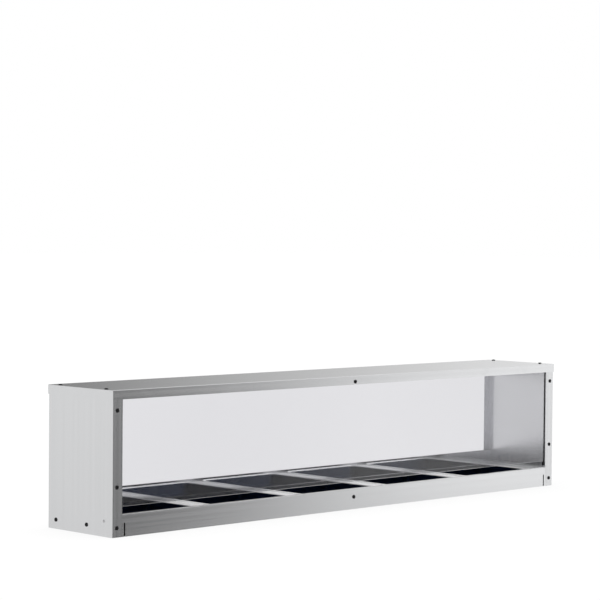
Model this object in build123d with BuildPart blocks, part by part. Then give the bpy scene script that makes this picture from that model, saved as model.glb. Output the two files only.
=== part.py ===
from build123d import *
import os

# Hot food display case: five heated wells under a glass front, with an overhead heat strip.
# Millimetres. X runs along the length, -Y is the guests' side, +Y the open serving side, Z is up.
# The origin is on the underside, in the middle of the length and depth.

os.makedirs("parts", exist_ok=True)

# ---- Overall sizes, over the cover ----
case_length = 1829.0
case_depth = 275.0
case_height = 390.0

# ---- Sheet metal ----
cover_gauge = 1.5
sheet_gauge = 1.2
cover_clearance = 0.5
cover_seat_gap = 0.3
seam_gap = 0.3
lap_gap = 0.1
fold_radius = 1.6
cover_flange = 25.4
post_width = 34.0
rear_flange = 25.0
end_top_flange = 36.0

# ---- Rails and base pan ----
front_rail_height = 60.0
front_rail_return = 11.0
rail_lip = 12.2
relief_inset = 6.0
relief_width = 4.5
relief_height = 37.0
rear_rail_height = 94.6
splash_setback = 9.0
splash_gauge = 1.0
base_upturn = 47.0
fixing_hole = 9.0
fixing_spacing = 190.0
fixing_inset = 23.0

# ---- Wells and deck ----
well_count = 5
deck_top = 47.5
deck_end_margin = 14.1
bar_width = 60.8
opening_front_margin = 18.0
splash_foot_gap = 0.8
opening_corner = 22.0
bead_width = 6.0
bead_height = 3.5
pan_rim = 4.0
pan_rim_clearance = 0.5
pan_rear_corner = 3.0
pan_body_clearance = 0.8
pan_seat_gap = 0.2
pan_depth = 33.0
pan_wall = 1.0
pan_floor_radius = 6.0
deck_bracket_width = 40.0
deck_bracket_rear_gap = 35.0

# ---- Well heaters ----
insulation_thickness = 4.0
insulation_margin = 8.0
tube_radius = 3.2
tube_bend = 16.0
tube_clearance = 1.2
tube_side_margin = 34.0
clip_wall = 1.0
clip_width = 12.0
clip_foot = 7.0
element_row_shares = (-0.36, -0.12, 0.12, 0.36)

# ---- Front glass ----
glass_thickness = 6.0
glass_bottom = 80.0
glass_edge_cover = 11.0
glass_top_lap = 8.0
glass_corner = 3.0
channel_gauge = 1.0
channel_reveal = 0.8
channel_bottom = 66.0
seal_thickness = 1.6
seal_width = 9.0

# ---- Overhead heat strip ----
strip_inset = 120.0
strip_drop = 5.5
strip_width = 64.0
strip_height = 23.5
strip_gauge = 1.0
strip_lip = 5.0
reflector_gauge = 0.8
reflector_top_width = 29.0
strip_tube_radius = 4.0
insulator_radius = 9.0
insulator_length = 8.0
guard_wire = 1.0
guard_pitch = 62.0
hanger_length = 30.0
hanger_width = 24.0
hanger_gauge = 1.0
hanger_shares = (0.3, 0.85)

# ---- Serving side header and controls ----
header_height = 43.0
header_depth = 41.0
header_lip = 17.0
header_tab = 20.0
control_box_length = 190.0
control_box_height = 86.0
inlet_from_post = 30.0
switch_from_inlet = 42.0
control_from_switch = 36.0
control_spacing = 52.0
control_size = 34.0
control_body_depth = 27.0
bush_radius = 4.5
bush_length = 4.5
bush_hole_clearance = 0.3
shaft_radius = 3.0
shaft_clearance = 0.05
shaft_length = 34.0
knob_radius = 15.0
knob_height = 17.0
knob_gap = 2.0
lamp_radius = 4.0
lamp_height = 3.0
lamp_rise = 23.0
rocker_width = 10.0
rocker_length = 23.0
rocker_tilt = 10.0
rocker_clearance = 0.3
switch_flange = 2.0
switch_wall = 1.4
switch_depth = 20.0
pivot_radius = 1.4
rocker_rise = 4.0
inlet_width = 34.0
inlet_height = 24.0
inlet_depth = 28.0
inlet_flange = 7.0
inlet_recess = 3.0
block_width = 56.0
block_height = 18.0
block_depth = 16.0
block_ways = 5
block_wall = 3.0

# ---- Fasteners and wiring ----
screw_radius = 2.4
screw_length = 9.0
short_screw_length = 4.8
screw_head_radius = 5.6
screw_head_height = 2.8
screw_hole_clearance = 0.1
screw_from_end = 18.0
post_screw_low = 25.0
post_screw_middle = 133.0
post_screw_drop = 54.0
rail_screw_height = 36.0
top_screw_end_inset = 16.0
top_screw_front_inset = 46.0
top_screw_rear_inset = 34.0
end_screw_front = 109.0
end_screw_rear = 240.0
end_rivet_front = 36.0
end_rivet_height = 42.0
loom_radius = 3.5
loom_bend = 14.0
raceway_size = 30.0
lead_radius = 1.5
sleeve_radius = 2.0

# ---- How solids sit on their seats, and places that follow from the sizes above ----
standing = (Align.CENTER, Align.CENTER, Align.MIN)
hanging = (Align.CENTER, Align.CENTER, Align.MAX)
casing_x = case_length / 2 - cover_gauge - cover_clearance
casing_y = case_depth / 2 - cover_gauge - cover_clearance
casing_top = case_height - cover_gauge - cover_seat_gap
end_inner_x = casing_x - sheet_gauge
face_inner_y = casing_y - sheet_gauge
post_x = casing_x - post_width
cover_lip = case_height - cover_flange
liner_top = casing_top - sheet_gauge
liner_bottom = liner_top - sheet_gauge
base_x = end_inner_x - lap_gap
base_y = face_inner_y - lap_gap
between_posts = 2 * (post_x - seam_gap)
rear_post_x = casing_x - rear_flange
rear_half = rear_post_x - seam_gap

deck_x = base_x - sheet_gauge - seam_gap
deck_y = base_y - sheet_gauge - seam_gap
deck_bottom = deck_top - sheet_gauge
bead_top = deck_top + bead_height
well_pitch = 2 * (base_x - deck_end_margin) / well_count
opening_length = well_pitch - bar_width
opening_front = -casing_y + opening_front_margin
splash_y = casing_y - splash_setback
opening_rear = splash_y - splash_foot_gap
opening_depth = opening_rear - opening_front
opening_y = (opening_rear + opening_front) / 2
well_x = [(index - (well_count - 1) / 2) * well_pitch for index in range(well_count)]
bar_x = [(left + right) / 2 for left, right in zip(well_x[:-1], well_x[1:])]

pan_body_inset = pan_rim_clearance + pan_rim
pan_rim_bottom = deck_top + pan_seat_gap
pan_rim_top = pan_rim_bottom + pan_wall
pan_bottom = pan_rim_top - pan_depth
cutout_inset = pan_body_inset - pan_body_clearance

insulation_top = sheet_gauge + insulation_thickness
tube_z = insulation_top + tube_clearance + tube_radius

channel_front = face_inner_y
seal_front = channel_front - channel_gauge
glass_front = seal_front - seal_thickness
glass_back = glass_front - glass_thickness
seal_back = glass_back - seal_thickness
channel_back = seal_back - channel_gauge
channel_inner_x = post_x - channel_reveal
channel_outer_x = end_inner_x - seam_gap
glass_x = post_x + glass_edge_cover
glass_top = cover_lip + glass_top_lap
channel_top = liner_bottom - seam_gap

strip_x = casing_x - strip_inset
strip_top = liner_bottom - strip_drop
strip_bottom = strip_top - strip_height
strip_tube_z = strip_bottom + strip_height / 2

header_bottom = liner_bottom - header_height
header_front_y = casing_y - header_depth
control_box_left = -post_x + seam_gap
control_box_right = control_box_left + control_box_length
control_box_bottom = liner_bottom - control_box_height
control_z = (control_box_bottom + cover_lip) / 2
inlet_x = control_box_left + inlet_from_post
switch_x = inlet_x + switch_from_inlet
wells_control_x = switch_x + control_from_switch
strip_control_x = wells_control_x + control_spacing
terminal_x = control_box_right + control_spacing

screw_hole = screw_radius + screw_hole_clearance
post_screw_heights = [post_screw_low, post_screw_middle, case_height - post_screw_drop]
post_screw_x = case_length / 2 - screw_from_end
case_front = -case_depth / 2
loom_x = -end_inner_x + raceway_size - 2 * loom_radius
loom_y = opening_rear + loom_radius
loom_low_z = deck_bottom / 2 + loom_radius
loom_high_z = liner_bottom - 2 * loom_radius - hanger_gauge


def sheet(x_range, y_range, z_range, mode=Mode.ADD):
    """Adds to the open part, or cuts from it, a block between two limits on each axis."""
    middle = [sum(limits) / 2 for limits in (x_range, y_range, z_range)]
    size = [limits[1] - limits[0] for limits in (x_range, y_range, z_range)]
    with Locations(tuple(middle)):
        Box(*size, mode=mode)


def write(piece, name):
    """Labels a finished piece and writes it to its own file."""
    piece.part.label = name
    export_step(piece.part, f"parts/{name}.step")


def facing_front(x, y, z):
    """A seat on a front face, whose local Z points out at the guests."""
    return Location((x, y, z), (90, 0, 0))


def facing_rear(x, y, z):
    """A seat on a rear face, whose local Z points out at the server."""
    return Location((x, y, z), (-90, 0, 0))


def facing_side(side, x, y, z):
    """A seat on an end face, whose local Z points away from the case."""
    return Location((side * x, y, z), (0, side * 90, 0))


def drill(seats, radius, depth):
    """Cuts a straight hole in from each seat."""
    with Locations(*seats):
        Cylinder(radius, 2 * depth, mode=Mode.SUBTRACT)


def pan_head_screw(length):
    """One pan head screw with a cross recess, its head seated on the XY plane."""
    dome = screw_head_height * 0.6
    with BuildPart() as screw:
        with BuildSketch(Plane.XZ):
            with BuildLine():
                Line((0, -length), (screw_radius * 0.7, -length))
                Line((screw_radius * 0.7, -length), (screw_radius, -length + screw_radius))
                Line((screw_radius, -length + screw_radius), (screw_radius, 0))
                Line((screw_radius, 0), (screw_head_radius, 0))
                Line((screw_head_radius, 0), (screw_head_radius, screw_head_height - dome))
                JernArc((screw_head_radius, screw_head_height - dome), (0, 1), dome, 90)
                Line((screw_head_radius - dome, screw_head_height), (0, screw_head_height))
                Line((0, screw_head_height), (0, -length))
            make_face()
        revolve(axis=Axis.Z)
        recess = screw_head_height * 0.6
        with Locations((0, 0, screw_head_height - recess / 2)):
            Box(screw_head_radius, screw_radius / 3, recess, mode=Mode.SUBTRACT)
            Box(screw_radius / 3, screw_head_radius, recess, mode=Mode.SUBTRACT)
    return screw.part


def screw_group(seats, name, length=screw_length):
    """Writes a group of like screws, one at each seat."""
    screw = pan_head_screw(length)
    with BuildPart() as group:
        with Locations(*seats):
            add(screw)
    write(group, name)


def swept_tube(points, radius, bend, plane):
    """Adds a round bar along straight runs joined by arcs, starting on the given plane."""
    with BuildLine() as route:
        FilletPolyline(*points, radius=bend)
    with BuildSketch(plane) as section:
        Circle(radius)
    sweep(section.sketch, path=route.wires()[0])


# ---- Seats that more than one piece is drilled for ----
top_seats = [
    Location((side * (case_length / 2 - top_screw_end_inset), y, case_height))
    for side in (-1, 1)
    for y in (case_front + top_screw_front_inset, case_depth / 2 - top_screw_rear_inset)
]
left_post_seats = [facing_front(-post_screw_x, -casing_y, z) for z in post_screw_heights]
right_post_seats = [facing_front(post_screw_x, -casing_y, z) for z in post_screw_heights]
rail_seat = facing_front(0, -casing_y, rail_screw_height)
cover_seat = facing_front(0, case_front, case_height - cover_flange * 2 / 3)
rear_rail_seat = facing_rear(0, casing_y, rail_screw_height)
rear_post_seats = [
    facing_rear(side * post_screw_x, casing_y, z)
    for side in (-1, 1)
    for z in (post_screw_low, (header_bottom + cover_lip) / 2)
]
end_seats = {
    side: [
        facing_side(side, casing_x, case_front + end_screw_front, post_screw_low),
        facing_side(side, casing_x, case_front + end_screw_rear, post_screw_low),
    ]
    for side in (-1, 1)
}
rivet_seats = {
    side: facing_side(side, casing_x, case_front + end_rivet_front, end_rivet_height)
    for side in (-1, 1)
}
hanger_places = [
    (side * share * strip_x, 0, liner_bottom) for side in (-1, 1) for share in hanger_shares
]
fixing_places = [
    (side * (base_x - fixing_inset), end * fixing_spacing / 2, 0)
    for side in (-1, 1)
    for end in (-1, 1)
]

# ---- Top cover: a shallow pan with a flange folded down on all four sides ----
with BuildPart() as top_cover:
    with BuildSketch(Plane.XY.offset(cover_lip)):
        RectangleRounded(case_length, case_depth, fold_radius)
    extrude(amount=cover_flange)
    fillet(top_cover.faces().sort_by(Axis.Z)[-1].edges(), fold_radius)
    with BuildSketch(Plane.XY.offset(cover_lip)):
        Rectangle(case_length - 2 * cover_gauge, case_depth - 2 * cover_gauge)
    extrude(amount=cover_flange - cover_gauge, mode=Mode.SUBTRACT)
    drill(top_seats, screw_hole, cover_gauge + 1)
    drill([cover_seat], screw_hole, cover_gauge + 1)
write(top_cover, "top_cover")


# ---- End panels: side sheets with front, rear and top flanges folded inwards ----
def end_panel(side, post_seats, name):
    """One end panel, on the left (side -1) or the right (side 1)."""
    flange_middle = casing_x - post_width / 2
    with BuildPart() as panel:
        with BuildSketch():
            with Locations((side * flange_middle, 0)):
                Rectangle(post_width, 2 * casing_y)
            outer = vertices().group_by(Axis.X)[0 if side < 0 else -1]
            fillet(outer, fold_radius)
            with Locations((side * (flange_middle - sheet_gauge), 0)):
                Rectangle(post_width, 2 * face_inner_y, mode=Mode.SUBTRACT)
        extrude(amount=casing_top)
        spare = sorted([side * post_x, side * rear_post_x])
        sheet(spare, (face_inner_y, casing_y), (0, casing_top), mode=Mode.SUBTRACT)
        limits = sorted([side * casing_x, side * (casing_x - end_top_flange)])
        sheet(limits, (-face_inner_y, face_inner_y), (liner_top, casing_top))
        drill(post_seats, screw_hole, 2 * sheet_gauge)
        drill([seat for seat in rear_post_seats if side * seat.position.X > 0], screw_hole, 2 * sheet_gauge)
        drill(end_seats[side] + [rivet_seats[side]], screw_hole, 2 * sheet_gauge)
        drill(top_seats, screw_hole, 2 * cover_gauge + sheet_gauge)
    write(panel, name)


end_panel(-1, left_post_seats, "left_end_panel")
end_panel(1, right_post_seats, "right_end_panel")

# ---- Top liner: the ceiling sheet under the cover, with a front edge for the glass ----
with BuildPart() as top_liner:
    sheet((-base_x, base_x), (-base_y, base_y), (liner_bottom, liner_top))
    sheet((-post_x + seam_gap, post_x - seam_gap), (-casing_y, -base_y), (liner_bottom, liner_top))
    sheet(
        (-post_x + seam_gap, post_x - seam_gap),
        (-casing_y, -face_inner_y),
        (cover_lip + cover_gauge, liner_top),
    )
    drill([cover_seat], screw_hole, cover_gauge + cover_clearance + 2 * sheet_gauge)
    drill(top_seats, screw_hole, cover_gauge + 4 * sheet_gauge)
    drill([Location(place) for place in hanger_places], screw_hole, 2 * sheet_gauge)
write(top_liner, "top_liner")

# ---- Base pan: floor and upturned sides that the panels and rails are screwed to ----
with BuildPart() as base_pan:
    sheet((-base_x, base_x), (-base_y, base_y), (0, base_upturn))
    sheet(
        (-base_x + sheet_gauge, base_x - sheet_gauge),
        (-base_y + sheet_gauge, base_y - sheet_gauge),
        (sheet_gauge, base_upturn),
        mode=Mode.SUBTRACT,
    )
    for side in (-1, 1):
        slot_start = between_posts / 2 - relief_inset
        slot = sorted([side * slot_start, side * (slot_start - relief_width)])
        sheet(slot, (-base_y, -base_y + sheet_gauge), (sheet_gauge, relief_height), mode=Mode.SUBTRACT)
        drill(end_seats[side] + [rivet_seats[side]], screw_hole, 3 * sheet_gauge)
    drill(left_post_seats[:1] + right_post_seats[:1] + [rail_seat], screw_hole, 3 * sheet_gauge)
    drill(rear_post_seats + [rear_rail_seat], screw_hole, 3 * sheet_gauge)
    drill([Location(place) for place in fixing_places], fixing_hole / 2, 2 * sheet_gauge)
write(base_pan, "base_pan")

# ---- Front rail: face, folded top and a lip, with a relief slot near each lower corner ----
with BuildPart() as front_rail:
    with BuildSketch(Plane.YZ.offset(-between_posts / 2)):
        with BuildLine():
            Polyline(
                (-casing_y, 0),
                (-casing_y, front_rail_height),
                (-casing_y + front_rail_return, front_rail_height),
                (-casing_y + front_rail_return, front_rail_height - rail_lip),
                (-casing_y + front_rail_return - sheet_gauge, front_rail_height - rail_lip),
                (-casing_y + front_rail_return - sheet_gauge, front_rail_height - sheet_gauge),
                (-face_inner_y, front_rail_height - sheet_gauge),
                (-face_inner_y, 0),
                close=True,
            )
        make_face()
    extrude(amount=between_posts)
    top_fold = front_rail.edges().filter_by(Axis.X).group_by(Axis.Z)[-1]
    fillet(top_fold, sheet_gauge * 0.8)
    for side in (-1, 1):
        slot_start = between_posts / 2 - relief_inset
        slot = sorted([side * slot_start, side * (slot_start - relief_width)])
        sheet(slot, (-casing_y, -face_inner_y), (0, relief_height), mode=Mode.SUBTRACT)
    drill([rail_seat], screw_hole, 2 * sheet_gauge)
write(front_rail, "front_rail")

# ---- Rear rail and the polished splash in front of it ----
splash_left = -end_inner_x + raceway_size + 2 * seam_gap
splash_bottom = deck_top + lap_gap
with BuildPart() as rear_rail:
    sheet((-rear_half, rear_half), (face_inner_y, casing_y), (0, rear_rail_height))
    sheet(
        (splash_left, rear_half),
        (splash_y + splash_gauge + lap_gap, casing_y),
        (rear_rail_height - sheet_gauge, rear_rail_height),
    )
    top_fold = rear_rail.edges().filter_by(Axis.X).group_by(Axis.Z)[-1].sort_by(Axis.Y)[-1]
    fillet(top_fold, sheet_gauge * 0.8)
    drill([rear_rail_seat], screw_hole, 2 * sheet_gauge)
write(rear_rail, "rear_rail")

with BuildPart() as rear_splash:
    sheet(
        (splash_left, end_inner_x - seam_gap),
        (splash_y, splash_y + splash_gauge),
        (splash_bottom, rear_rail_height),
    )
write(rear_splash, "rear_splash")

# ---- Well deck: one sheet with five openings, each with a raised bead on three sides ----
cutout_length = opening_length - 2 * cutout_inset
cutout_depth = opening_depth - 2 * cutout_inset
with BuildPart() as well_deck:
    sheet((-deck_x, deck_x), (-deck_y, deck_y), (deck_bottom, deck_top))
    with BuildSketch(Plane.XY.offset(deck_top)):
        with Locations(*[(x, opening_rear) for x in well_x]):
            RectangleRounded(
                opening_length + 2 * bead_width,
                2 * (opening_depth + bead_width),
                opening_corner + bead_width,
            )
            RectangleRounded(opening_length, 2 * opening_depth, opening_corner, mode=Mode.SUBTRACT)
        with Locations((0, opening_rear)):
            Rectangle(
                case_length,
                2 * opening_depth,
                align=(Align.CENTER, Align.MIN),
                mode=Mode.SUBTRACT,
            )
    extrude(amount=bead_height)
    top_edges = well_deck.faces().group_by(Axis.Z)[-1].edges()
    bead_edges = top_edges.filter_by(lambda edge: edge.center().Y < opening_rear - bead_height)
    fillet(bead_edges, bead_width * 0.42)
    with BuildSketch(Plane.XY.offset(deck_bottom)):
        with Locations(*[(x, opening_y) for x in well_x]):
            RectangleRounded(cutout_length, cutout_depth, opening_corner - cutout_inset)
    extrude(amount=sheet_gauge, mode=Mode.SUBTRACT)
    with Locations((loom_x, loom_y, deck_top)):
        Cylinder(loom_radius + 2 * lap_gap, 4 * sheet_gauge, mode=Mode.SUBTRACT)
write(well_deck, "well_deck")

# ---- Deck brackets: a folded channel under each bar between two wells ----
with BuildPart() as deck_brackets:
    for x in bar_x:
        walls = (x - deck_bracket_width / 2, x + deck_bracket_width / 2)
        run = (-deck_y, deck_y - deck_bracket_rear_gap)
        sheet(walls, run, (sheet_gauge, deck_bottom))
        hollow = (walls[0] + sheet_gauge, walls[1] - sheet_gauge)
        sheet(hollow, run, (sheet_gauge, deck_bottom - sheet_gauge), mode=Mode.SUBTRACT)
write(deck_brackets, "deck_brackets")

# ---- Insulation board under each well ----
with BuildPart() as well_insulation:
    for x in well_x:
        with Locations((x, opening_y, sheet_gauge)):
            Box(
                opening_length - 2 * insulation_margin,
                opening_depth - 2 * insulation_margin,
                insulation_thickness,
                align=standing,
            )
write(well_insulation, "well_insulation")

# ---- Food pans: black enamelled pans that lift out of the openings ----
pan_length = opening_length - 2 * pan_body_inset
pan_width = opening_depth - 2 * pan_body_inset
pan_corner = opening_corner - pan_body_inset
for number, x in enumerate(well_x, start=1):
    with BuildPart() as food_pan:
        with BuildSketch(Plane.XY.offset(pan_bottom)):
            with Locations((x, opening_y)):
                RectangleRounded(pan_length, pan_width, pan_corner)
        extrude(amount=pan_depth)
        fillet(food_pan.faces().sort_by(Axis.Z)[0].edges(), pan_floor_radius)
        offset(amount=-pan_wall, openings=food_pan.faces().sort_by(Axis.Z)[-1])
        with BuildSketch(Plane.XY.offset(pan_rim_bottom)):
            with Locations((x, opening_y)):
                RectangleRounded(pan_length + 2 * pan_rim, pan_width + 2 * pan_rim, pan_corner + pan_rim)
            with Locations((x, opening_y + pan_width / 4 + pan_rim / 2)):
                RectangleRounded(pan_length + 2 * pan_rim, pan_width / 2 + pan_rim, pan_rear_corner)
            with Locations((x, opening_y)):
                RectangleRounded(
                    pan_length - pan_wall,
                    pan_width - pan_wall,
                    pan_corner - pan_wall / 2,
                    mode=Mode.SUBTRACT,
                )
        extrude(amount=pan_wall)
    write(food_pan, f"food_pan_{number}")

# ---- Well elements: a round heating tube in three loops under each pan ----
element_half = opening_length / 2 - tube_side_margin
element_rows = [opening_y + share * opening_depth for share in element_row_shares]
lead_y = opening_rear - pan_body_inset
lead_x = [-element_half, -element_half + 2 * tube_bend]
for number, x in enumerate(well_x, start=1):
    low, low_middle, high_middle, high = element_rows
    with BuildPart() as well_element:
        swept_tube(
            [
                (x + lead_x[0], lead_y, tube_z),
                (x + lead_x[0], low, tube_z),
                (x + element_half, low, tube_z),
                (x + element_half, low_middle, tube_z),
                (x + lead_x[1], low_middle, tube_z),
                (x + lead_x[1], high_middle, tube_z),
                (x + element_half, high_middle, tube_z),
                (x + element_half, high, tube_z),
                (x + lead_x[1], high, tube_z),
                (x + lead_x[1], lead_y, tube_z),
            ],
            tube_radius,
            min(tube_bend, 0.1 * opening_depth),
            Plane(origin=(x + lead_x[0], lead_y, tube_z), z_dir=(0, -1, 0)),
        )
    write(well_element, f"well_element_{number}")

# ---- Element clips: saddles that hold each tube down on its insulation board ----
with BuildPart() as element_clips:
    clip_radius = tube_radius + lap_gap + clip_wall
    clip_places = [(x, row, tube_z) for x in well_x for row in (element_rows[0], element_rows[2])]
    foot_depth = 2 * (clip_radius + clip_foot)
    with Locations(*clip_places):
        Cylinder(clip_radius, clip_width, rotation=(0, 90, 0))
    with Locations(*[(x, y, insulation_top) for x, y, z in clip_places]):
        Box(clip_width, 2 * clip_radius, tube_clearance + tube_radius, align=standing)
        Box(clip_width, foot_depth, clip_wall, align=standing)
        Box(
            clip_width,
            2 * (tube_radius + lap_gap),
            tube_clearance + tube_radius,
            align=standing,
            mode=Mode.SUBTRACT,
        )
    with Locations(*clip_places):
        Cylinder(tube_radius + lap_gap, clip_width, rotation=(0, 90, 0), mode=Mode.SUBTRACT)
write(element_clips, "element_clips")

# ---- Front glass and what holds it ----
with BuildPart() as front_glass:
    with BuildSketch(Plane.XZ.offset(glass_back)):
        with Locations((0, (glass_top + glass_bottom) / 2)):
            RectangleRounded(2 * glass_x, glass_top - glass_bottom, glass_corner)
    extrude(amount=glass_thickness)
    fillet(front_glass.faces().group_by(Axis.Y)[0].edges(), glass_thickness / 8)
    fillet(front_glass.faces().group_by(Axis.Y)[-1].edges(), glass_thickness / 8)
write(front_glass, "front_glass")


def glass_channel(side, name):
    """A U-section channel behind one post, open towards the middle of the case."""
    across = sorted([side * channel_inner_x, side * channel_outer_x])
    hollow = sorted([side * (channel_inner_x - channel_gauge), side * (channel_outer_x - channel_gauge)])
    with BuildPart() as channel:
        sheet(across, (-channel_front, -channel_back), (channel_bottom, channel_top))
        sheet(
            hollow,
            (-seal_front, -seal_back),
            (channel_bottom + channel_gauge, channel_top),
            mode=Mode.SUBTRACT,
        )
        seats = left_post_seats if side < 0 else right_post_seats
        drill(seats[1:], screw_hole, sheet_gauge + 2 * channel_gauge)
    write(channel, name)


glass_channel(-1, "glass_channel_left")
glass_channel(1, "glass_channel_right")

seal_height = (glass_bottom, channel_top - seam_gap)
with BuildPart() as glass_seals:
    for side in (-1, 1):
        across = sorted([side * channel_inner_x, side * (channel_inner_x + seal_width)])
        sheet(across, (-seal_front, -glass_front), seal_height)
        sheet(across, (-glass_back, -seal_back), seal_height)
write(glass_seals, "glass_seals")

with BuildPart() as glass_stops:
    for side in (-1, 1):
        stop_inner = channel_inner_x + channel_gauge
        stop_outer = channel_outer_x - 2 * channel_gauge
        across = sorted([side * stop_inner, side * stop_outer])
        sheet(across, (-glass_front, -glass_back), (channel_bottom + channel_gauge, glass_bottom))
write(glass_stops, "glass_stops")

# ---- Overhead heat strip ----
with BuildPart() as strip_housing:
    with BuildSketch(Plane.YZ.offset(-strip_x)):
        with Locations((0, strip_tube_z)):
            Rectangle(strip_width, strip_height)
            fillet(vertices(), fold_radius)
            Rectangle(strip_width - 2 * strip_gauge, strip_height - 2 * strip_gauge, mode=Mode.SUBTRACT)
        with Locations((0, strip_bottom + strip_gauge / 2)):
            Rectangle(strip_width - 2 * strip_lip, 2 * strip_gauge, mode=Mode.SUBTRACT)
    extrude(amount=2 * strip_x)
write(strip_housing, "strip_housing")

reflector_half = strip_width / 2 - strip_gauge - lap_gap
reflector_low = strip_bottom + strip_gauge + lap_gap
reflector_high = strip_top - 2 * strip_gauge
with BuildPart() as strip_reflector:
    with BuildSketch(Plane.YZ.offset(-strip_x + insulator_length)):
        for inset, mode in ((0, Mode.ADD), (reflector_gauge, Mode.SUBTRACT)):
            with BuildLine():
                Polyline(
                    (-reflector_half + 1.2 * inset, reflector_low),
                    (-reflector_top_width / 2 + 0.6 * inset, reflector_high - inset),
                    (reflector_top_width / 2 - 0.6 * inset, reflector_high - inset),
                    (reflector_half - 1.2 * inset, reflector_low),
                    close=True,
                )
            make_face(mode=mode)
    extrude(amount=2 * (strip_x - insulator_length))
write(strip_reflector, "strip_reflector")

with BuildPart() as strip_end_caps:
    for side in (-1, 1):
        across = sorted([side * (strip_x + lap_gap), side * (strip_x + lap_gap + sheet_gauge)])
        sheet(across, (-strip_width / 2, strip_width / 2), (strip_bottom, strip_top))
    tube_ends = [facing_side(side, strip_x, 0, strip_tube_z) for side in (-1, 1)]
    drill(tube_ends, insulator_radius * 0.6, insulator_length)
write(strip_end_caps, "strip_end_caps")

strip_end = strip_x + lap_gap + sheet_gauge
with BuildPart() as strip_insulators:
    for side in (-1, 1):
        with Locations(facing_side(side, strip_end, 0, strip_tube_z)):
            Cylinder(insulator_radius, insulator_length, align=standing)
            Cylinder(
                insulator_radius * 0.6 - lap_gap,
                insulator_length * 0.7,
                align=hanging,
            )
            Cylinder(strip_tube_radius + shaft_clearance, 4 * insulator_length, mode=Mode.SUBTRACT)
write(strip_insulators, "strip_insulators")

with BuildPart() as strip_element:
    with Locations((0, 0, strip_tube_z)):
        Cylinder(strip_tube_radius, 2 * (strip_end + insulator_length), rotation=(0, 90, 0))
        Cylinder(strip_tube_radius * 0.4, 2 * (strip_end + 2 * insulator_length), rotation=(0, 90, 0))
write(strip_element, "strip_element")

guard_z = strip_bottom - guard_wire - lap_gap
guard_count = int(2 * strip_x // guard_pitch)
with BuildPart() as strip_guard:
    with Locations((0, 0, guard_z)):
        with GridLocations(guard_pitch, 1, guard_count, 1):
            Cylinder(guard_wire, strip_width - 2 * guard_wire, rotation=(90, 0, 0))
    with Locations((0, 0, guard_z - 1.8 * guard_wire)):
        with GridLocations(1, strip_width / 3, 1, 3):
            Cylinder(guard_wire, 2 * strip_x - guard_pitch / 2, rotation=(0, 90, 0))
write(strip_guard, "strip_guard")

hanger_seats = [Location(place, (180, 0, 0)) for place in hanger_places]
with BuildPart() as strip_hangers:
    with Locations(*[(x, y, z - strip_drop / 2) for x, y, z in hanger_places]):
        Box(hanger_length, hanger_width, strip_drop)
        Box(
            hanger_length,
            hanger_width - 2 * hanger_gauge,
            strip_drop - 2 * hanger_gauge,
            mode=Mode.SUBTRACT,
        )
    drill(hanger_seats, screw_hole, hanger_gauge * 1.5)
write(strip_hangers, "strip_hangers")

# ---- Serving side header, and the box at its left end that holds the controls ----
rear_wall = (face_inner_y, casing_y)
with BuildPart() as rear_header:
    run = (control_box_right + seam_gap, rear_half)
    sheet(run, rear_wall, (header_bottom, liner_bottom - lap_gap))
    sheet(run, (header_front_y, casing_y), (header_bottom, header_bottom + sheet_gauge))
    sheet(run, (header_front_y, header_front_y + sheet_gauge), (header_bottom, header_bottom + header_lip))
    tab = (post_x - header_tab, post_x + header_tab + 2 * screw_radius)
    sheet(tab, (face_inner_y - sheet_gauge, face_inner_y), (header_bottom + sheet_gauge, cover_lip))
    bottom_fold = rear_header.edges().filter_by(Axis.X).group_by(Axis.Z)[0]
    fillet(bottom_fold, sheet_gauge * 0.8)
    drill(rear_post_seats, screw_hole, 3 * sheet_gauge)
write(rear_header, "rear_header")

control_places = (wells_control_x, strip_control_x)
control_seats = [facing_rear(x, casing_y, control_z) for x in control_places]
lamp_seats = [facing_rear(x, casing_y, control_z + lamp_rise) for x in control_places]
cavity_half = rocker_length / 2 + rocker_clearance
cavity_side = rocker_width / 2 + rocker_clearance
switch_half = cavity_half + switch_wall + lap_gap
switch_side = cavity_side + switch_wall + lap_gap
with BuildPart() as control_box:
    run = (control_box_left, control_box_right)
    sheet((-rear_half, control_box_right), rear_wall, (control_box_bottom, liner_bottom - lap_gap))
    sheet(run, (header_front_y, casing_y), (control_box_bottom, control_box_bottom + sheet_gauge))
    sheet(run, (header_front_y, header_front_y + sheet_gauge), (control_box_bottom, cover_lip))
    sheet(
        (control_box_right - sheet_gauge, control_box_right),
        (header_front_y, casing_y),
        (control_box_bottom, cover_lip),
    )
    tab = (-post_x - header_tab - 2 * screw_radius, -post_x + header_tab / 2)
    sheet(tab, (face_inner_y - sheet_gauge, face_inner_y), (header_bottom + sheet_gauge, cover_lip))
    lowest = control_box.edges().filter_by(Axis.X).group_by(Axis.Z)[0]
    bottom_fold = lowest.filter_by(lambda edge: edge.length > control_box_length / 2)
    fillet(bottom_fold, sheet_gauge * 0.8)
    drill(rear_post_seats, screw_hole, 3 * sheet_gauge)
    drill(control_seats, bush_radius + bush_hole_clearance, 2 * sheet_gauge)
    drill(lamp_seats, lamp_radius * 0.8 + lap_gap, 2 * sheet_gauge)
    sheet(
        (switch_x - switch_side, switch_x + switch_side),
        rear_wall,
        (control_z - switch_half, control_z + switch_half),
        mode=Mode.SUBTRACT,
    )
    sheet(
        (inlet_x - inlet_width / 2 - lap_gap, inlet_x + inlet_width / 2 + lap_gap),
        rear_wall,
        (control_z - inlet_height / 2 - lap_gap, control_z + inlet_height / 2 + lap_gap),
        mode=Mode.SUBTRACT,
    )
write(control_box, "control_box")

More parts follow.
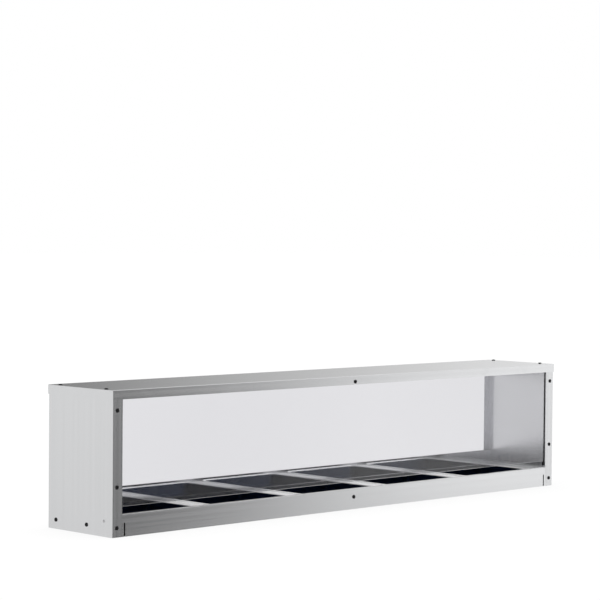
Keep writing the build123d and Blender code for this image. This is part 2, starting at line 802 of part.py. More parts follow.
# ---- Controls: a body and threaded bush inside the control box, a shaft and a knob outside ----
control_back = face_inner_y - control_body_depth
with BuildPart() as control_bodies:
    for x in (wells_control_x, strip_control_x):
        sheet(
            (x - control_size / 2, x + control_size / 2),
            (control_back, face_inner_y - lap_gap),
            (control_z - control_size / 2, control_z + control_size / 2),
        )
        with Locations(facing_rear(x, face_inner_y - lap_gap, control_z)):
            Cylinder(bush_radius, sheet_gauge + lap_gap + bush_length, align=standing)
        with BuildSketch(Plane(facing_rear(x, casing_y + lap_gap, control_z))):
            RegularPolygon(bush_radius * 1.6, 6)
        extrude(amount=bush_length / 2)
        drill([facing_rear(x, casing_y, control_z)], shaft_radius + shaft_clearance, shaft_length)
write(control_bodies, "control_bodies")

knob_base_y = casing_y + bush_length + knob_gap
knob_names = {"wells": wells_control_x, "strip": strip_control_x}
for label, x in knob_names.items():
    seat = facing_rear(x, knob_base_y, control_z)
    with BuildPart() as control_shaft:
        with Locations(seat):
            Cylinder(shaft_radius, shaft_length / 2, align=hanging)
            Cylinder(shaft_radius, knob_height * 0.7, align=standing)
    write(control_shaft, f"control_shaft_{label}")
    with BuildPart() as control_knob:
        with Locations(seat):
            Cylinder(knob_radius, knob_height * 0.25, align=standing)
            Cone(
                knob_radius * 0.82,
                knob_radius * 0.72,
                knob_height,
                align=standing,
            )
        fillet(control_knob.faces().sort_by(Axis.Y)[-1].edges(), knob_radius * 0.08)
        with Locations(seat):
            with PolarLocations(knob_radius * 0.86, 12):
                Cylinder(knob_radius * 0.12, 3 * knob_height, mode=Mode.SUBTRACT)
            Cylinder(shaft_radius, knob_height * 0.7, align=standing, mode=Mode.SUBTRACT)
    write(control_knob, f"control_knob_{label}")

with BuildPart() as indicator_lamps:
    with Locations(*lamp_seats):
        Cylinder(lamp_radius, lamp_height * 0.4, align=standing)
        Cone(lamp_radius * 0.8, lamp_radius * 0.5, lamp_height, align=standing)
        Cylinder(lamp_radius * 0.8, 4 * lamp_height, align=hanging)
write(indicator_lamps, "indicator_lamps")

# ---- Power switch: a housing in the control box and a rocker that tips about its pin ----
pivot_y = casing_y + switch_flange / 2
with BuildPart() as switch_housing:
    sheet(
        (switch_x - cavity_side - switch_wall, switch_x + cavity_side + switch_wall),
        (casing_y - switch_depth, casing_y + lap_gap),
        (control_z - cavity_half - switch_wall, control_z + cavity_half + switch_wall),
    )
    sheet(
        (switch_x - cavity_side - 2 * switch_wall, switch_x + cavity_side + 2 * switch_wall),
        (casing_y + lap_gap, casing_y + switch_flange),
        (control_z - cavity_half - 2 * switch_wall, control_z + cavity_half + 2 * switch_wall),
    )
    sheet(
        (switch_x - cavity_side, switch_x + cavity_side),
        (casing_y - switch_depth + 2 * switch_wall, casing_y + 2 * switch_flange),
        (control_z - cavity_half, control_z + cavity_half),
        mode=Mode.SUBTRACT,
    )
    with Locations((switch_x, pivot_y - switch_flange, control_z)):
        Cylinder(
            pivot_radius + shaft_clearance,
            2 * (cavity_side + switch_wall / 2),
            rotation=(0, 90, 0),
            mode=Mode.SUBTRACT,
        )
write(switch_housing, "switch_housing")

rocker_y = pivot_y - switch_flange
tip = rocker_length / 2 - 2 * rocker_clearance
with BuildPart() as power_rocker:
    rocker_plane = Plane.YZ.offset(switch_x - rocker_width / 2)
    with BuildSketch(rocker_plane):
        with Locations((rocker_y, control_z)):
            with BuildSketch(mode=Mode.PRIVATE) as side_view:
                with BuildLine():
                    Polyline(
                        (-rocker_rise, -rocker_rise),
                        (0, -tip),
                        (rocker_rise + switch_flange, -tip),
                        (rocker_rise * 0.8 + switch_flange / 2, 0),
                        (rocker_rise + switch_flange, tip),
                        (0, tip),
                        (-rocker_rise, rocker_rise),
                        close=True,
                    )
                make_face()
            add(side_view.sketch, rotation=rocker_tilt)
    extrude(amount=rocker_width)
    with Locations((switch_x, rocker_y, control_z)):
        Cylinder(pivot_radius, 2 * cavity_side + switch_wall * 0.8, rotation=(0, 90, 0))
write(power_rocker, "power_rocker")

# ---- Power inlet and terminal block ----
with BuildPart() as power_inlet:
    sheet(
        (inlet_x - inlet_width / 2, inlet_x + inlet_width / 2),
        (casing_y - inlet_depth, casing_y + lap_gap),
        (control_z - inlet_height / 2, control_z + inlet_height / 2),
    )
    sheet(
        (inlet_x - inlet_width / 2 - inlet_flange, inlet_x + inlet_width / 2 + inlet_flange),
        (casing_y + lap_gap, casing_y + inlet_recess),
        (control_z - inlet_height / 2 - inlet_recess / 2, control_z + inlet_height / 2 + inlet_recess / 2),
    )
    sheet(
        (inlet_x - inlet_width / 2 + inlet_recess, inlet_x + inlet_width / 2 - inlet_recess),
        (casing_y - inlet_depth / 2, casing_y + inlet_recess),
        (control_z - inlet_height / 2 + inlet_recess, control_z + inlet_height / 2 - inlet_recess),
        mode=Mode.SUBTRACT,
    )
write(power_inlet, "power_inlet")

with BuildPart() as inlet_pins:
    pin_base = casing_y - inlet_depth / 2
    outer = inlet_width / 4
    for offset, z in ((-outer, -inlet_recess), (0, inlet_recess), (outer, -inlet_recess)):
        middle = inlet_x + offset
        sheet(
            (middle - inlet_recess / 3, middle + inlet_recess / 3),
            (pin_base, casing_y - inlet_recess / 2),
            (control_z + z - inlet_recess / 2, control_z + z + inlet_recess / 2),
        )
write(inlet_pins, "inlet_pins")

with BuildPart() as terminal_block:
    block_y = (header_front_y + sheet_gauge + face_inner_y) / 2
    floor_z = header_bottom + sheet_gauge + lap_gap
    with Locations((terminal_x, block_y, floor_z)):
        Box(block_width, block_depth, block_height, align=standing)
    with Locations((terminal_x, block_y, floor_z + block_height)):
        with GridLocations(block_width / block_ways, 1, block_ways, 1):
            Box(
                block_width / block_ways - block_wall,
                block_depth * 0.6,
                block_height / 2,
                mode=Mode.SUBTRACT,
            )
write(terminal_block, "terminal_block")

# ---- Wire raceway in the left rear corner, and the wiring it covers ----
raceway_x = -end_inner_x + seam_gap + raceway_size
raceway_y = face_inner_y - seam_gap - raceway_size
with BuildPart() as wire_raceway:
    rise = (deck_top + lap_gap, header_bottom - lap_gap)
    sheet((raceway_x - sheet_gauge, raceway_x), (raceway_y, face_inner_y - seam_gap), rise)
    sheet((-end_inner_x + seam_gap, raceway_x), (raceway_y, raceway_y + sheet_gauge), rise)
write(wire_raceway, "wire_raceway")

with BuildPart() as wiring_loom:
    loom_end = well_x[-1] + lead_x[-1] + 2 * loom_radius
    swept_tube(
        [
            (terminal_x + block_width, loom_y, loom_high_z),
            (loom_x, loom_y, loom_high_z),
            (loom_x, loom_y, loom_low_z),
            (loom_end, loom_y, loom_low_z),
        ],
        loom_radius,
        loom_bend,
        Plane(origin=(terminal_x + block_width, loom_y, loom_high_z), z_dir=(-1, 0, 0)),
    )
    for x in well_x:
        for offset in lead_x:
            with Locations((x + offset, lead_y, tube_z)):
                Cylinder(lead_radius, loom_y - lead_y, rotation=(-90, 0, 0), align=standing)
            with Locations((x + offset, loom_y, tube_z - sleeve_radius)):
                Cylinder(sleeve_radius, loom_low_z - tube_z + sleeve_radius, align=standing)
write(wiring_loom, "wiring_loom")

# ---- Fasteners ----
screw_group(top_seats, "top_screws")
screw_group(left_post_seats, "left_post_screws")
screw_group(right_post_seats, "right_post_screws")
screw_group([cover_seat, rail_seat], "centre_screws", short_screw_length)
screw_group(end_seats[-1] + end_seats[1], "end_screws")
screw_group(rear_post_seats + [rear_rail_seat], "rear_screws")
hanger_screw_seats = [Location((x, y, z - hanger_gauge), (180, 0, 0)) for x, y, z in hanger_places]
screw_group(hanger_screw_seats, "hanger_screws", hanger_gauge + 2 * sheet_gauge)

rivet_length = 3 * sheet_gauge
with BuildPart() as end_rivets:
    with Locations(rivet_seats[-1], rivet_seats[1]):
        Cylinder(screw_radius, rivet_length, align=hanging)
        Cylinder(screw_head_radius * 0.8, screw_head_height / 3, align=standing)
        Cylinder(screw_radius * 0.6, rivet_length, mode=Mode.SUBTRACT)
write(end_rivets, "end_rivets")
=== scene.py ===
"""Looks of the hot food display case: finishes for every sheet, pan, tube and moulding, detailed
fasteners and dial marks, and the plain studio that the case stands in. Lengths are in metres."""

import logging
import math
from dataclasses import dataclass, field
from enum import Enum

import bmesh
import bpy
from mathutils import Matrix, Vector


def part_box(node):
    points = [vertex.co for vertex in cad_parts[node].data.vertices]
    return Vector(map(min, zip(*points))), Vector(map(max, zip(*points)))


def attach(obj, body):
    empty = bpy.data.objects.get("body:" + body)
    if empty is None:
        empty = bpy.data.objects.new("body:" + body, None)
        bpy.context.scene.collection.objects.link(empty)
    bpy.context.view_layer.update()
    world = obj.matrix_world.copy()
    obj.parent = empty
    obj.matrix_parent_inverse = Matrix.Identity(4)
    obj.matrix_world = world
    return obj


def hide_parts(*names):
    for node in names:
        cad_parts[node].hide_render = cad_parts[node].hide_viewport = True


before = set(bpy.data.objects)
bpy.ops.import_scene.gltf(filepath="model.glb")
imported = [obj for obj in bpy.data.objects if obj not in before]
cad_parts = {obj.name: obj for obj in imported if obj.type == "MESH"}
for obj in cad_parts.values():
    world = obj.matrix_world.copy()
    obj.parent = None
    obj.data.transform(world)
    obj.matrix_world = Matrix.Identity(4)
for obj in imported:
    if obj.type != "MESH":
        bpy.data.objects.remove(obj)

LOG = logging.getLogger("display_case")
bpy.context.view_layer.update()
Colour = tuple[float, float, float]
Triple = tuple[float, float, float]
CLOUD_RANGE = (0.3, 0.7)


class Grain(Enum):
    """Which way the brush lines of a sheet run."""

    LENGTH = (3.0, 2200.0, 2200.0)
    UPRIGHT = (2200.0, 2200.0, 3.0)
    DEPTH = (2200.0, 3.0, 2200.0)


class Facing(Enum):
    """Which way a fastener's head looks out of the case."""

    FRONT = (0.0, -1.0, 0.0)
    REAR = (0.0, 1.0, 0.0)
    UP = (0.0, 0.0, 1.0)
    OUTWARD = (1.0, 0.0, 0.0)


class Tree:
    """Short words for filling one node tree."""

    def __init__(self, tree: bpy.types.NodeTree) -> None:
        """Args:
        tree: The node tree to fill.
        """
        self.tree = tree

    def add(self, kind: str, settings: dict | None = None, **inputs: object) -> bpy.types.Node:
        """Adds one node.

        Args:
            kind: The node's type name.
            settings: Values of the node's own properties.
            inputs: Socket names, with spaces as underscores, and a value or an output to link.

        Returns:
            The new node.
        """
        node = self.tree.nodes.new(kind)
        for key, value in (settings or {}).items():
            setattr(node, key, value)
        for key, value in inputs.items():
            self.feed(node.inputs[key.replace("_", " ")], value)
        return node

    def feed(self, socket: bpy.types.NodeSocket, value: object) -> None:
        """Links an output to a socket, or sets the socket's own value."""
        if isinstance(value, bpy.types.NodeSocket):
            self.tree.links.new(value, socket)
        else:
            socket.default_value = value

    def math(self, operation: str, first: object, second: object = 0.0) -> bpy.types.NodeSocket:
        """Adds a Math node and returns its output."""
        node = self.add("ShaderNodeMath", {"operation": operation})
        self.feed(node.inputs[0], first)
        self.feed(node.inputs[1], second)
        return node.outputs[0]

    def remap(
        self, value: object, low: float, high: float, to_low: float, to_high: float
    ) -> bpy.types.NodeSocket:
        """Maps a value from one range to another and returns the result, clamped."""
        node = self.add("ShaderNodeMapRange", None, Value=value)
        for name, number in (("From Min", low), ("From Max", high), ("To Min", to_low), ("To Max", to_high)):
            node.inputs[name].default_value = number
        return node.outputs["Result"]

    def blend(self, factor: object, first: object, second: object) -> bpy.types.NodeSocket:
        """Mixes two colours by a factor and returns the result."""
        node = self.add("ShaderNodeMix", {"data_type": "RGBA"})
        self.feed(node.inputs[0], factor)
        for socket, value in ((node.inputs[6], first), (node.inputs[7], second)):
            self.feed(socket, (*value, 1.0) if isinstance(value, tuple) else value)
        return node.outputs[2]

    def scaled(self, scales: Triple) -> bpy.types.NodeSocket:
        """Object coordinates multiplied on each axis."""
        place = self.add("ShaderNodeTexCoord")
        stretch = self.add("ShaderNodeVectorMath", {"operation": "MULTIPLY"})
        self.tree.links.new(place.outputs["Object"], stretch.inputs[0])
        stretch.inputs[1].default_value = scales
        return stretch.outputs[0]


def socket(group: bpy.types.NodeTree, name: str, kind: str, value: object = None, out: bool = False) -> None:
    """Adds one socket to a node group's outside.

    Args:
        group: The node group.
        name: The socket's name.
        kind: The end of the socket's type name, such as Float.
        value: Its default value, if it has one.
        out: Whether it is an output.
    """
    way = "OUTPUT" if out else "INPUT"
    made = group.interface.new_socket(name, in_out=way, socket_type=f"NodeSocket{kind}")
    if value is not None:
        made.default_value = value


def shader_group(name: str, inputs: dict[str, object], outputs: list[str]) -> tuple[Tree, dict, dict]:
    """Starts a shared shader node group.

    Args:
        name: The group's name.
        inputs: Input names with their default values, vectors as tuples.
        outputs: Names of the value outputs.

    Returns:
        The tree, its input sockets by name and its output sockets by name.
    """
    group = bpy.data.node_groups.new(name, "ShaderNodeTree")
    for key, value in inputs.items():
        socket(group, key, "Vector" if isinstance(value, tuple) else "Float", value)
    for key in outputs:
        socket(group, key, "Float", out=True)
    tree = Tree(group)
    start = group.nodes.new("NodeGroupInput")
    end = group.nodes.new("NodeGroupOutput")
    return tree, {key: start.outputs[key] for key in inputs}, {key: end.inputs[key] for key in outputs}


def brush_group() -> bpy.types.NodeTree:
    """Brush lines: a fine height and slow streaks along the same direction."""
    inputs = {"Line Scales": (3.0, 2200.0, 2200.0), "Streak Share": 0.05}
    tree, start, end = shader_group("brush_lines", inputs, ["Height", "Streak"])
    place = tree.add("ShaderNodeTexCoord")
    fine = tree.add("ShaderNodeVectorMath", {"operation": "MULTIPLY"})
    tree.feed(fine.inputs[0], place.outputs["Object"])
    tree.feed(fine.inputs[1], start["Line Scales"])
    lines = tree.add("ShaderNodeTexNoise", None, Vector=fine.outputs[0], Scale=1.0, Detail=3.0, Roughness=0.6)
    broad = tree.add("ShaderNodeVectorMath", {"operation": "SCALE"})
    tree.feed(broad.inputs[0], fine.outputs[0])
    tree.feed(broad.inputs["Scale"], start["Streak Share"])
    streaks = tree.add(
        "ShaderNodeTexNoise", None, Vector=broad.outputs[0], Scale=1.0, Detail=4.0, Roughness=0.65
    )
    tree.feed(end["Height"], lines.outputs[0])
    tree.feed(end["Streak"], streaks.outputs[0])
    return tree.tree


def handling_group() -> bpy.types.NodeTree:
    """Wiped haze and finger smudges: a soft mask that breaks up gloss."""
    tree, start, end = shader_group("handling_marks", {"Size": 9.0, "Coverage": 0.4}, ["Mask", "Cloud"])
    place = tree.add("ShaderNodeTexCoord").outputs["Object"]
    cloud = tree.add("ShaderNodeTexNoise", None, Vector=place, Scale=start["Size"], Detail=3.0)
    swirl = tree.math("MULTIPLY", start["Size"], 2.5)
    marks = tree.add("ShaderNodeTexNoise", {"noise_dimensions": "3D"}, Vector=place, Scale=swirl, Detail=2.0)
    tree.tree.nodes[-1].inputs["Distortion"].default_value = 0.3
    spread = tree.math("MULTIPLY", cloud.outputs[0], marks.outputs[0])
    level = tree.math("SUBTRACT", 0.5, tree.math("MULTIPLY", start["Coverage"], 0.4))
    mask = tree.math("GREATER_THAN", spread, level)
    soft = tree.math("MULTIPLY", tree.math("SUBTRACT", spread, level), 3.0)
    tree.feed(end["Mask"], tree.math("MULTIPLY", mask, tree.math("MINIMUM", soft, 1.0)))
    tree.feed(end["Cloud"], cloud.outputs[0])
    return tree.tree


def pebble_group() -> bpy.types.NodeTree:
    """Fine pebbling of enamel, moulded plastic and board: a height and loose specks."""
    tree, start, end = shader_group("pebble", {"Scale": 900.0, "Speck Level": 0.7}, ["Height", "Specks"])
    place = tree.add("ShaderNodeTexCoord").outputs["Object"]
    grain = tree.add("ShaderNodeTexNoise", None, Vector=place, Scale=start["Scale"], Detail=4.0)
    cells = tree.add("ShaderNodeTexVoronoi", None, Vector=place, Scale=start["Scale"])
    tree.feed(end["Height"], grain.outputs[0])
    tree.feed(end["Specks"], tree.math("GREATER_THAN", cells.outputs["Distance"], start["Speck Level"]))
    return tree.tree


class Groups:
    """The shader node groups that the finishes share, each built once."""

    brush: bpy.types.NodeTree
    handling: bpy.types.NodeTree
    pebble: bpy.types.NodeTree

    @classmethod
    def build(cls) -> None:
        """Builds the shared groups."""
        cls.brush = brush_group()
        cls.handling = handling_group()
        cls.pebble = pebble_group()


@dataclass(frozen=True)
class Finish:
    """A surface finish with fine pebbling, slow cloudy variation and handling marks."""

    name: str
    colour: Colour
    roughness: float
    metallic: float = 0.0
    pebble_scale: float = 900.0
    pebble_depth: float = 0.00002
    cloud: float = 0.08
    smudge_size: float = 9.0
    smudge_roughness: float = 0.1
    specular: float = 0.5

    def start(self) -> tuple[bpy.types.Material, Tree, bpy.types.Node]:
        """Makes the material, its tree and its shader with the plain values set."""
        material = bpy.data.materials.new(self.name)
        material.use_nodes = True
        tree = Tree(material.node_tree)
        shader = material.node_tree.nodes["Principled BSDF"]
        shader.inputs["Metallic"].default_value = self.metallic
        shader.inputs["Specular IOR Level"].default_value = self.specular
        return material, tree, shader

    def group(self, tree: Tree, group: bpy.types.NodeTree, **inputs: object) -> bpy.types.Node:
        """Places a shared group in the material with its own values."""
        node = tree.add("ShaderNodeGroup", {"node_tree": group})
        for key, value in inputs.items():
            tree.feed(node.inputs[key.replace("_", " ")], value)
        return node

    def toned(self, tree: Tree, factor: object, spread: float) -> bpy.types.NodeSocket:
        """The finish's colour, a little darker and lighter by a factor."""
        dark = tuple(max(0.0, channel * (1 - spread)) for channel in self.colour)
        light = tuple(min(1.0, channel * (1 + spread)) for channel in self.colour)
        return tree.blend(factor, dark, light)

    def bump(self, tree: Tree, shader: bpy.types.Node, height: object, depth: float) -> None:
        """Feeds a height into the shader's normal."""
        node = tree.add("ShaderNodeBump", None, Height=height, Distance=depth, Strength=1.0)
        tree.feed(shader.inputs["Normal"], node.outputs[0])

    def build(self) -> bpy.types.Material:
        """Builds the material."""
        material, tree, shader = self.start()
        pebble = self.group(tree, Groups.pebble, Scale=self.pebble_scale)
        marks = self.group(tree, Groups.handling, Size=self.smudge_size)
        tree.feed(shader.inputs["Base Color"], self.toned(tree, marks.outputs["Cloud"], self.cloud))
        rough = tree.math("MULTIPLY", marks.outputs["Mask"], self.smudge_roughness)
        uneven = tree.math("MULTIPLY", marks.outputs["Cloud"], self.smudge_roughness)
        base = max(0.0, self.roughness - self.smudge_roughness / 2)
        tree.feed(shader.inputs["Roughness"], tree.math("ADD", tree.math("ADD", rough, uneven), base))
        self.bump(tree, shader, pebble.outputs["Height"], self.pebble_depth)
        return material


@dataclass(frozen=True)
class SheetMetal(Finish):
    """Brushed or plain rolled sheet, with lines along one direction and faint wiped marks."""

    metallic: float = 1.0
    grain: Grain = Grain.LENGTH
    line_depth: float = 0.00001
    streak: float = 0.05
    smudge_roughness: float = 0.05
    roughness_spread: float = 0.15

    def build(self) -> bpy.types.Material:
        """Builds the material."""
        material, tree, shader = self.start()
        lines = self.group(tree, Groups.brush, Line_Scales=self.grain.value)
        marks = self.group(tree, Groups.handling, Size=self.smudge_size)
        tree.feed(shader.inputs["Base Color"], self.toned(tree, lines.outputs["Streak"], self.streak))
        least, most = (self.roughness * (1 + side * self.roughness_spread) for side in (-1, 1))
        spread = tree.remap(lines.outputs["Streak"], *CLOUD_RANGE, least, most)
        haze = tree.math("MULTIPLY", marks.outputs["Mask"], self.smudge_roughness)
        tree.feed(shader.inputs["Roughness"], tree.math("ADD", spread, haze))
        self.bump(tree, shader, lines.outputs["Height"], self.line_depth)
        return material


@dataclass(frozen=True)
class ClearGlass(Finish):
    """Clear toughened glass with a faint body tint and hardly visible wiping marks."""

    ior: float = 1.45

    def build(self) -> bpy.types.Material:
        """Builds the material."""
        material, tree, shader = self.start()
        shader.inputs["Transmission Weight"].default_value = 1.0
        shader.inputs["IOR"].default_value = self.ior
        marks = self.group(tree, Groups.handling, Size=self.smudge_size)
        tree.feed(shader.inputs["Base Color"], self.toned(tree, marks.outputs["Cloud"], self.cloud))
        wiped = tree.math("MULTIPLY", marks.outputs["Mask"], self.smudge_roughness)
        tree.feed(shader.inputs["Roughness"], tree.math("ADD", wiped, self.roughness))
        return material


@dataclass(frozen=True)
class HeatedSheath(Finish):
    """A heating tube's sheath, darkened unevenly by heat along its length."""

    metallic: float = 0.8
    blued: Colour = (0.09, 0.08, 0.12)
    smoothest: float = 0.35
    smudge_size: float = 14.0

    def build(self) -> bpy.types.Material:
        """Builds the material."""
        material, tree, shader = self.start()
        marks = self.group(tree, Groups.handling, Size=self.smudge_size)
        pebble = self.group(tree, Groups.pebble, Scale=self.pebble_scale)
        tree.feed(shader.inputs["Base Color"], tree.blend(marks.outputs["Cloud"], self.colour, self.blued))
        rough = tree.remap(marks.outputs["Cloud"], *CLOUD_RANGE, self.smoothest, self.roughness)
        tree.feed(shader.inputs["Roughness"], rough)
        self.bump(tree, shader, pebble.outputs["Height"], self.pebble_depth)
        return material


@dataclass(frozen=True)
class WovenSleeve(Finish):
    """Braided sleeving over wires: two sets of crossing diagonal threads."""

    threads: float = 700.0

    def build(self) -> bpy.types.Material:
        """Builds the material."""
        material, tree, shader = self.start()
        place = tree.scaled((1.0, 1.0, 1.0))
        heights = []
        for direction in ((1.0, 1.0, 1.0), (1.0, -1.0, -1.0)):
            along = tree.add("ShaderNodeVectorMath", {"operation": "DOT_PRODUCT"})
            tree.feed(along.inputs[0], place)
            along.inputs[1].default_value = direction
            wave = tree.math("SINE", tree.math("MULTIPLY", along.outputs["Value"], self.threads * math.tau))
            heights.append(wave)
        weave = tree.math("MAXIMUM", *heights)
        tree.feed(shader.inputs["Base Color"], self.toned(tree, tree.remap(weave, -1, 1, 0, 1), 0.5))
        tree.feed(shader.inputs["Roughness"], tree.remap(weave, -1, 1, 0.9, self.roughness))
        self.bump(tree, shader, weave, self.pebble_depth)
        return material


STEEL: Colour = (0.76, 0.765, 0.775)

FINISHES: dict[str, Finish] = {
    "brushed_along": SheetMetal("steel_brushed_along", STEEL, 0.2, grain=Grain.LENGTH),
    "brushed_upright": SheetMetal("steel_brushed_upright", STEEL, 0.2, grain=Grain.UPRIGHT),
    "brushed_deck": SheetMetal(
        "steel_brushed_deck", (0.88, 0.88, 0.885), 0.3, metallic=0.35, grain=Grain.DEPTH
    ),
    "brushed_inside": SheetMetal(
        "steel_brushed_inside", STEEL, 0.24, grain=Grain.UPRIGHT, line_depth=0.000002
    ),
    "brushed_rear": SheetMetal(
        "steel_brushed_rear", (0.8, 0.8, 0.805), 0.3, metallic=0.9, grain=Grain.LENGTH
    ),
    "polished": SheetMetal("steel_polished", (0.86, 0.865, 0.87), 0.03, line_depth=0.000001, streak=0.01),
    "mill": SheetMetal("steel_mill", (0.6, 0.6, 0.61), 0.35, grain=Grain.LENGTH, streak=0.12),
    "housing": SheetMetal("aluminium_satin", (0.78, 0.78, 0.79), 0.3, grain=Grain.LENGTH),
    "enamel": Finish(
        "enamel_black",
        (0.005, 0.009, 0.022),
        0.06,
        pebble_scale=350.0,
        pebble_depth=0.000004,
        smudge_roughness=0.03,
        specular=0.24,
    ),
    "sheath": HeatedSheath("heated_sheath", (0.24, 0.21, 0.18), 0.6),
    "glass": ClearGlass("glass_clear", (0.782, 0.779, 0.805), 0.0, cloud=0.004, smudge_roughness=0.02),
    "rubber": Finish("rubber_black", (0.02, 0.02, 0.021), 0.75, pebble_scale=1500.0),
    "black_oxide": Finish(
        "screw_black_oxide", (0.012, 0.012, 0.013), 0.42, metallic=0.6, pebble_scale=2500.0
    ),
    "board": Finish("mineral_board", (0.72, 0.69, 0.6), 0.95, pebble_scale=400.0, pebble_depth=0.0003),
    "ceramic": Finish("ceramic_glazed", (0.85, 0.83, 0.77), 0.18, pebble_scale=600.0),
    "black_plastic": Finish(
        "plastic_black", (0.025, 0.025, 0.027), 0.5, pebble_scale=1800.0, pebble_depth=0.00006
    ),
    "white_plastic": Finish("plastic_white", (0.74, 0.73, 0.68), 0.45, pebble_scale=1200.0),
    "red_plastic": Finish("plastic_red", (0.55, 0.02, 0.015), 0.22, pebble_scale=500.0, pebble_depth=0.00001),
    "amber_plastic": Finish(
        "plastic_amber", (0.75, 0.28, 0.02), 0.15, pebble_scale=500.0, pebble_depth=0.00001
    ),
    "print": Finish("dial_print", (0.06, 0.06, 0.065), 0.5, pebble_scale=2000.0),
    "pointer": Finish("pointer_white", (0.82, 0.82, 0.8), 0.4, pebble_scale=2000.0),
    "sleeve": WovenSleeve("braided_sleeve", (0.1, 0.1, 0.1), 0.6, pebble_depth=0.0003),
    "brass": SheetMetal("brass_plain", (0.75, 0.58, 0.25), 0.25, grain=Grain.DEPTH),
}

NODE_FINISH: dict[str, tuple[str, ...]] = {
    "brushed_along": ("top_cover", "front_rail", "rear_header", "control_box"),
    "brushed_rear": ("rear_rail",),
    "brushed_upright": (
        "left_end_panel",
        "wire_raceway",
        "glass_channel_left",
        "glass_channel_right",
    ),
    "brushed_deck": ("well_deck",),
    "brushed_inside": ("right_end_panel",),
    "polished": ("rear_splash", "strip_reflector", "strip_guard"),
    "mill": (
        "top_liner",
        "base_pan",
        "deck_brackets",
        "strip_hangers",
        "element_clips",
        "control_shaft_wells",
        "control_shaft_strip",
    ),
    "housing": ("strip_housing", "strip_end_caps"),
    "enamel": tuple(f"food_pan_{number}" for number in range(1, 6)),
    "sheath": (*(f"well_element_{number}" for number in range(1, 6)), "strip_element"),
    "glass": ("front_glass",),
    "rubber": ("glass_seals", "glass_stops"),
    "black_oxide": ("hanger_screws",),
    "board": ("well_insulation",),
    "ceramic": ("strip_insulators",),
    "black_plastic": (
        "control_bodies",
        "control_knob_wells",
        "control_knob_strip",
        "switch_housing",
        "power_inlet",
    ),
    "white_plastic": ("terminal_block",),
    "red_plastic": ("power_rocker",),
    "amber_plastic": ("indicator_lamps",),
    "sleeve": ("wiring_loom",),
    "brass": ("inlet_pins",),
}


@dataclass
class Workshop:
    """Builds each finish once and hands it out by name."""

    made: dict[str, bpy.types.Material] = field(default_factory=dict)

    def finish(self, name: str) -> bpy.types.Material:
        """The material of a named finish."""
        if name not in self.made:
            self.made[name] = FINISHES[name].build()
        return self.made[name]

    def dress_frame(self) -> None:
        """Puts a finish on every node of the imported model."""
        for name, nodes in NODE_FINISH.items():
            for node in nodes:
                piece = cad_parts[node]
                for slot in piece.material_slots:
                    slot.material = self.finish(name)
                LOG.info("dressed %s in %s", node, name)


def islands(node: str) -> list[tuple[Vector, Vector]]:
    """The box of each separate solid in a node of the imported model.

    Args:
        node: The node's name.

    Returns:
        The lowest and highest corner of each solid.
    """
    mesh = bmesh.new()
    mesh.from_mesh(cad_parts[node].data)
    bmesh.ops.remove_doubles(mesh, verts=mesh.verts, dist=1e-6)
    left = set(mesh.verts)
    boxes = []
    while left:
        reached = [left.pop()]
        points = []
        while reached:
            vertex = reached.pop()
            points.append(vertex.co.copy())
            for edge in vertex.link_edges:
                other = edge.other_vert(vertex)
                if other in left:
                    left.remove(other)
                    reached.append(other)
        low = Vector([min(point[axis] for point in points) for axis in range(3)])
        high = Vector([max(point[axis] for point in points) for axis in range(3)])
        boxes.append((low, high))
    mesh.free()
    return boxes


def object_from(mesh: bmesh.types.BMesh, name: str) -> bpy.types.Object:
    """Turns a finished mesh into an object in the scene."""
    data = bpy.data.meshes.new(name)
    mesh.to_mesh(data)
    mesh.free()
    piece = bpy.data.objects.new(name, data)
    bpy.context.collection.objects.link(piece)
    return piece


def lathe(profile: list[tuple[float, float]], steps: int) -> bmesh.types.BMesh:
    """Turns a profile of (radius, height) about Z into a closed shape."""
    mesh = bmesh.new()
    rings = []
    for radius, height in profile:
        if radius == 0:
            rings.append([mesh.verts.new((0, 0, height))])
            continue
        turns = [math.tau * step / steps for step in range(steps)]
        rings.append([mesh.verts.new((radius * math.cos(t), radius * math.sin(t), height)) for t in turns])
    for lower, upper in zip(rings[:-1], rings[1:]):
        for step in range(steps):
            after = (step + 1) % steps
            corners = [lower[step % len(lower)], lower[after % len(lower)]]
            corners += [upper[after % len(upper)], upper[step % len(upper)]]
            unique = list(dict.fromkeys(corners))
            mesh.faces.new(unique)
    bmesh.ops.recalc_face_normals(mesh, faces=mesh.faces)
    return mesh


